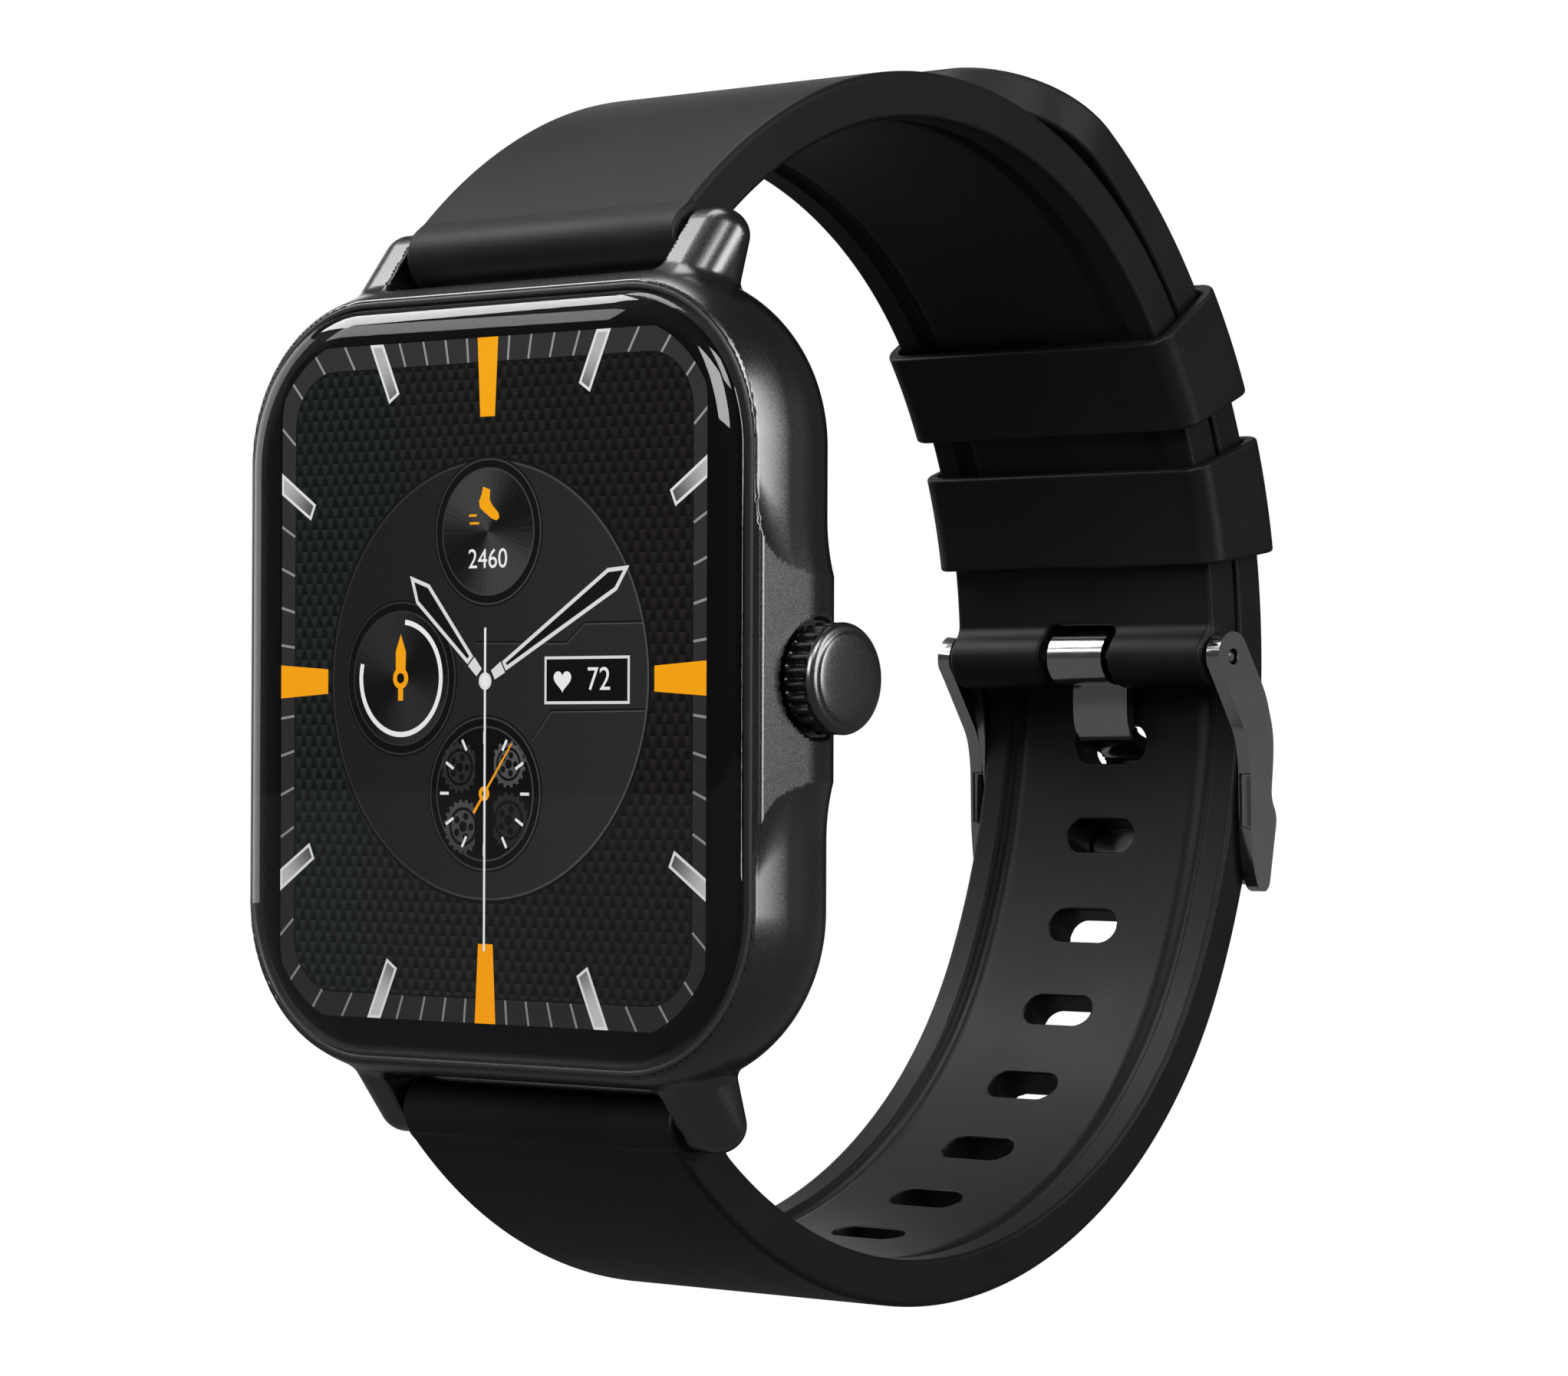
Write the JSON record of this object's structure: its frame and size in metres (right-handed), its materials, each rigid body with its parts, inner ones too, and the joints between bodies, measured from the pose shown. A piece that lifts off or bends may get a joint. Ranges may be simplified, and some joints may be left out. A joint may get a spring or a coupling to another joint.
{
  "type": "smartwatch",
  "caption": "Smartwatch with a rounded rectangular metal case, curved glass, knurled push-and-turn crown and a buckled silicone strap.",
  "frame": {"origin": "centre of the flat sensor window on the back of the case, where the wrist touches it", "axes": "+X towards the crown at 3 o'clock, +Z towards 12 o'clock, -Y out of the display"},
  "size_m": [0.0433, 0.0626, 0.0757],
  "materials": {
    "case_metal": "bead-blasted gunmetal, satin",
    "bezel_plastic": "matte grey",
    "cover_glass": "clear, black-printed border",
    "display_panel": "black display",
    "frame_alloy": "cast, bare",
    "circuit_board": "solder mask",
    "chip_black": "moulded",
    "flex_film": "polyimide film",
    "battery_pouch": "foil pouch",
    "steel": "machined",
    "back_plastic": "fine matte",
    "sensor_glass": "dark polished",
    "seal_rubber": "matte",
    "led_green": "clear resin",
    "gold_contact": "gold plated",
    "crown_metal": "satin gunmetal, knurled",
    "silicone": "matte silicone",
    "black_chrome": "polished black chrome"
  },
  "bodies": {
    "watch": {"back_cover": "back_plastic", "back_screw_1": "steel", "back_screw_2": "steel", "back_screw_3": "steel", "back_screw_4": "steel", "back_seal": "seal_rubber", "bar_buckle_spring": "steel", "bar_buckle_tube": "steel", "bar_lower_spring": "steel", "bar_lower_tube": "steel", "bar_upper_spring": "steel", "bar_upper_tube": "steel", "battery": "battery_pouch", "bezel_ring": "bezel_plastic", "board_screw_left": "steel", "board_screw_right": "steel", "case_middle": "case_metal", "charge_contact_left": "gold_contact", "charge_contact_right": "gold_contact", "crown_switch": "chip_black", "crown_tube": "steel", "display_flex": "flex_film", "display_panel": "display_panel", "glass_cover": "cover_glass", "main_board": "circuit_board", "midframe": "frame_alloy", "power_chip": "chip_black", "processor_chip": "chip_black", "sensor_board": "circuit_board", "sensor_led_left": "led_green", "sensor_led_right": "led_green", "sensor_photodiode": "chip_black", "sensor_window": "sensor_glass", "shield_can": "steel", "strap_lower": "silicone", "strap_upper": "silicone", "vibration_motor": "steel"},
    "crown_slider": {"crown_seal": "seal_rubber", "crown_clip": "steel"},
    "crown": {"crown_knob": "crown_metal", "crown_stem": "steel"},
    "switch_plunger": {"crown_plunger": "steel"},
    "buckle": {"buckle_frame": "black_chrome"},
    "tongue": {"buckle_tongue": "black_chrome"},
    "keeper_lower_body": {"keeper_lower": "silicone"},
    "keeper_upper_body": {"keeper_upper": "silicone"},
    "bar_upper_tip_left_body": {"bar_upper_tip_left": "steel"},
    "bar_upper_tip_right_body": {"bar_upper_tip_right": "steel"},
    "bar_lower_tip_left_body": {"bar_lower_tip_left": "steel"},
    "bar_lower_tip_right_body": {"bar_lower_tip_right": "steel"},
    "bar_buckle_tip_left_body": {"bar_buckle_tip_left": "steel"},
    "bar_buckle_tip_right_body": {"bar_buckle_tip_right": "steel"}
  },
  "joints": [
    {"name": "crown_push", "type": "slide", "parent": "watch", "child": "crown_slider", "axis": [-1, 0, 0], "range_m": [0, 0.0003], "stiffness_N_per_m": 6000, "springref_m": -0.0001},
    {"name": "crown_turn", "type": "hinge", "parent": "crown_slider", "child": "crown", "pos_m": [0.02045, -0.0045, 0], "axis": [1, 0, 0], "continuous": true},
    {"name": "plunger_push", "type": "slide", "parent": "watch", "child": "switch_plunger", "axis": [-1, 0, 0], "range_m": [0, 0.0003]},
    {"name": "buckle_swing", "type": "hinge", "parent": "watch", "child": "buckle", "pos_m": [0, 0.04641, 0.00215], "axis": [1, 0, 0], "range_deg": [0, 95]},
    {"name": "tongue_swing", "type": "hinge", "parent": "watch", "child": "tongue", "pos_m": [0, 0.04641, 0.00215], "axis": [1, 0, 0], "range_deg": [-0.8, 2]},
    {"name": "keeper_lower_slide", "type": "hinge", "parent": "watch", "child": "keeper_lower_body", "pos_m": [0, 0.01116, 0.00264], "axis": [1, 0, 0], "range_deg": [-3, 1.8]},
    {"name": "keeper_upper_slide", "type": "hinge", "parent": "watch", "child": "keeper_upper_body", "pos_m": [0, 0.01116, 0.00264], "axis": [1, 0, 0], "range_deg": [-1.8, 2]},
    {"name": "bar_upper_tip_left_press", "type": "slide", "parent": "watch", "child": "bar_upper_tip_left_body", "axis": [1, 0, 0], "range_m": [0, 0.001], "stiffness_N_per_m": 1500, "springref_m": -0.0003},
    {"name": "bar_upper_tip_right_press", "type": "slide", "parent": "watch", "child": "bar_upper_tip_right_body", "axis": [-1, 0, 0], "range_m": [0, 0.001], "stiffness_N_per_m": 1500, "springref_m": -0.0003},
    {"name": "bar_lower_tip_left_press", "type": "slide", "parent": "watch", "child": "bar_lower_tip_left_body", "axis": [1, 0, 0], "range_m": [0, 0.001], "stiffness_N_per_m": 1500, "springref_m": -0.0003},
    {"name": "bar_lower_tip_right_press", "type": "slide", "parent": "watch", "child": "bar_lower_tip_right_body", "axis": [-1, 0, 0], "range_m": [0, 0.001], "stiffness_N_per_m": 1500, "springref_m": -0.0003},
    {"name": "bar_buckle_tip_left_press", "type": "slide", "parent": "watch", "child": "bar_buckle_tip_left_body", "axis": [1, 0, 0], "range_m": [0, 0.0009], "stiffness_N_per_m": 1500, "springref_m": -0.0003},
    {"name": "bar_buckle_tip_right_press", "type": "slide", "parent": "watch", "child": "bar_buckle_tip_right_body", "axis": [-1, 0, 0], "range_m": [0, 0.0009], "stiffness_N_per_m": 1500, "springref_m": -0.0003}
  ],
  "couplings": [
    {"joint": "plunger_push", "follows": "crown_push", "ratio": 1}
  ]
}
